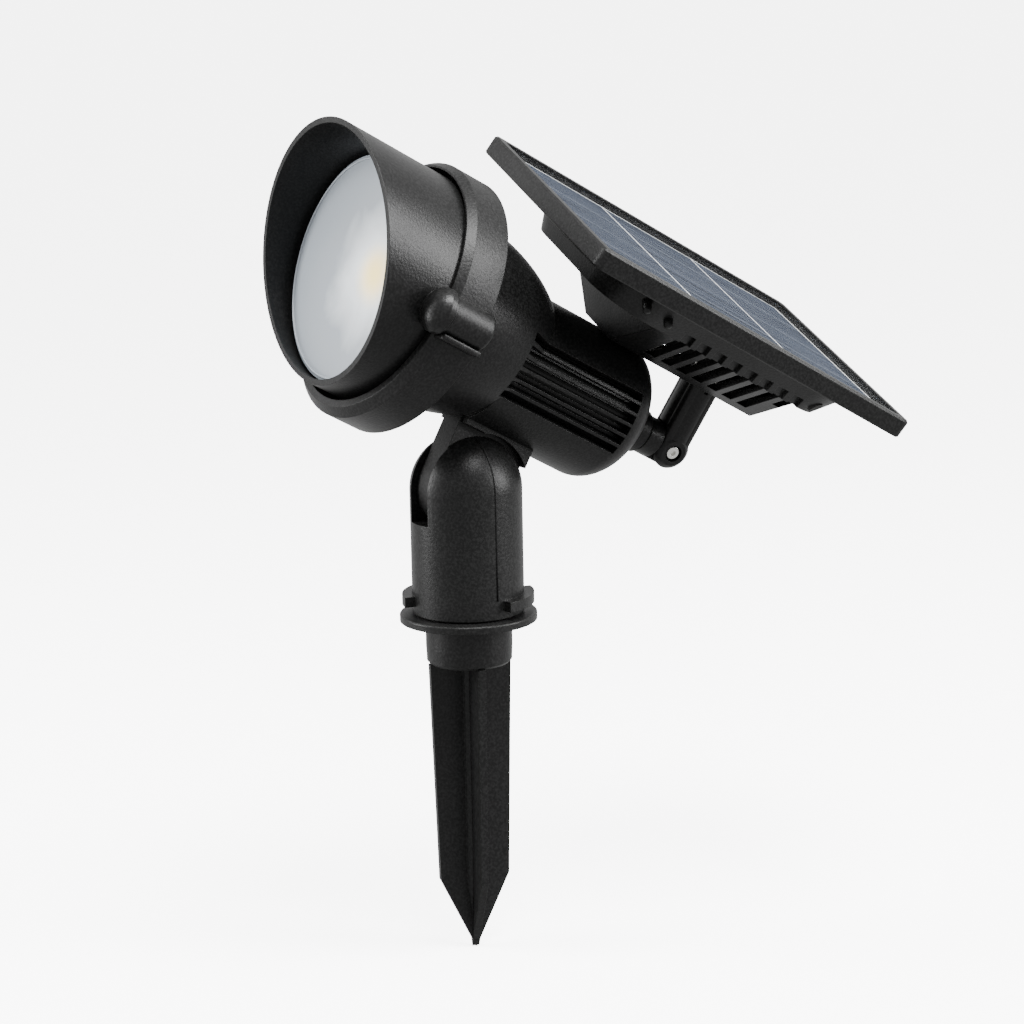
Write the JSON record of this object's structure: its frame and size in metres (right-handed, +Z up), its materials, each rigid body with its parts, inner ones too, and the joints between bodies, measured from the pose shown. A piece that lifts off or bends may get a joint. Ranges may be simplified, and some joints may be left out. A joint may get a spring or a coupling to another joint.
{
  "type": "solar garden spotlight",
  "caption": "Garden spotlight on a ground spike, with a tilting hooded lamp head and a solar panel on a swivelling, tilting arm at its back.",
  "frame": {"origin": "centre of the spike flange's underside, on the stem's axis, where it meets the ground", "axes": "+Z up along the stem, -Y the way the lamp looks, hinge of the head along X"},
  "size_m": [0.1568, 0.2759, 0.3796],
  "materials": {
    "abs_black": "fine-grained satin black moulding",
    "rubber_seal": "matte",
    "stainless": "satin stainless",
    "nylon_bush": "natural nylon",
    "lens_frosted": "frosted translucent diffuser",
    "reflector_white": "white gloss",
    "circuit_board": "white solder mask",
    "led_phosphor": "yellow phosphor",
    "aluminium": "as cast",
    "cell_wrap": "shrink sleeve",
    "back_sheet": "white sheet",
    "silicon_cell": "blue-grey silicon with fine lines",
    "tinned_ribbon": "tinned strip",
    "solar_glass": "clear, slightly textured",
    "button_rubber": "soft matte cap"
  },
  "bodies": {
    "spike": {"ground_spike": "abs_black", "spike_seal": "rubber_seal"},
    "stem": {"stem": "abs_black", "pivot_bolt": "stainless", "pivot_nut": "stainless"},
    "head": {"tilt_lug": "abs_black", "pivot_washers": "stainless", "lug_screws": "stainless", "rear_housing": "abs_black", "post_bush": "nylon_bush", "bezel_ring": "abs_black", "bezel_screws": "stainless", "hood": "abs_black", "hood_screws": "stainless", "lens": "lens_frosted", "lens_gasket": "rubber_seal", "reflector": "reflector_white", "led_board": "circuit_board", "led_emitter": "led_phosphor", "heat_sink": "aluminium", "battery_sleeve": "abs_black", "battery_cell": "cell_wrap", "control_board": "circuit_board"},
    "post": {"swivel_post": "abs_black", "post_seal": "rubber_seal", "post_clip": "stainless"},
    "panel": {"panel_arm": "abs_black", "hinge_screw": "stainless", "hinge_nut": "stainless", "panel_bracket": "abs_black", "bracket_screws": "stainless", "arm_screws": "stainless", "back_tray": "abs_black", "tray_screws": "stainless", "tray_gasket": "rubber_seal", "panel_frame": "abs_black", "back_sheet": "back_sheet", "solar_cells": "silicon_cell", "cell_ribbons": "tinned_ribbon", "solar_glass": "solar_glass"},
    "button": {"power_button": "button_rubber"}
  },
  "joints": [
    {"name": "stem_swivel", "type": "hinge", "parent": "spike", "child": "stem", "pos_m": [0, 0, 0], "axis": [0, 0, 1], "continuous": true},
    {"name": "head_tilt", "type": "hinge", "parent": "stem", "child": "head", "pos_m": [0, 0, 0.0593], "axis": [-1, 0, 0], "range_deg": [-70, 20]},
    {"name": "panel_swivel", "type": "hinge", "parent": "head", "child": "post", "pos_m": [0, 0.10829, 0.06593], "axis": [0, -0.8746, 0.4848], "range_deg": [-69.5, 110.5]},
    {"name": "panel_tilt", "type": "hinge", "parent": "post", "child": "panel", "pos_m": [0, 0.10829, 0.06593], "axis": [-0.9367, 0.1698, 0.3063], "range_deg": [0, 80]},
    {"name": "power_press", "type": "slide", "parent": "panel", "child": "button", "axis": [-0.5737, 0.0481, 0.8177], "range_m": [0, 0.0012], "stiffness_N_per_m": 600}
  ]
}
